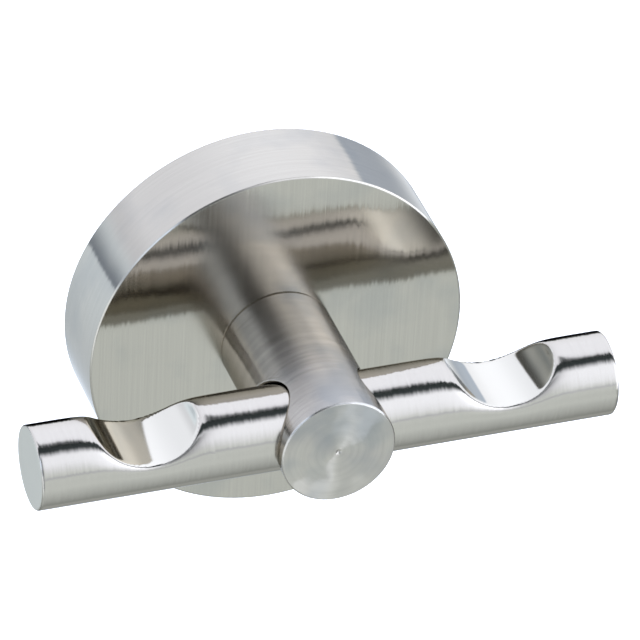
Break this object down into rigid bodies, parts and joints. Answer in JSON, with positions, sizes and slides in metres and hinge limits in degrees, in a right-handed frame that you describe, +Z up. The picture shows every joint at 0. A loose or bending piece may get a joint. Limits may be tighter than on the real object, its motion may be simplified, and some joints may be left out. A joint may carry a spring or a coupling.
{
  "type": "towel hook",
  "caption": "Wall hook with a round rose, a straight round post and a round cross rod through it, notched near each end.",
  "frame": {"origin": "on the wall plane, at the centre of the back of the rose and of the bracket", "axes": "+X along the cross rod, to the right as seen from the room; +Y into the wall; +Z up"},
  "size_m": [0.084, 0.0397, 0.055],
  "materials": {
    "brushed_steel": "satin, with a directional grain",
    "bracket_steel": "zinc plated",
    "fastener_steel": "plain"
  },
  "bodies": {
    "root": {"wall_bracket": "bracket_steel", "rose_cover": "brushed_steel", "post": "brushed_steel", "cross_rod": "brushed_steel", "post_screw": "fastener_steel", "lock_washer": "fastener_steel", "locating_pin": "fastener_steel", "set_screw": "fastener_steel"}
  },
  "joints": []
}
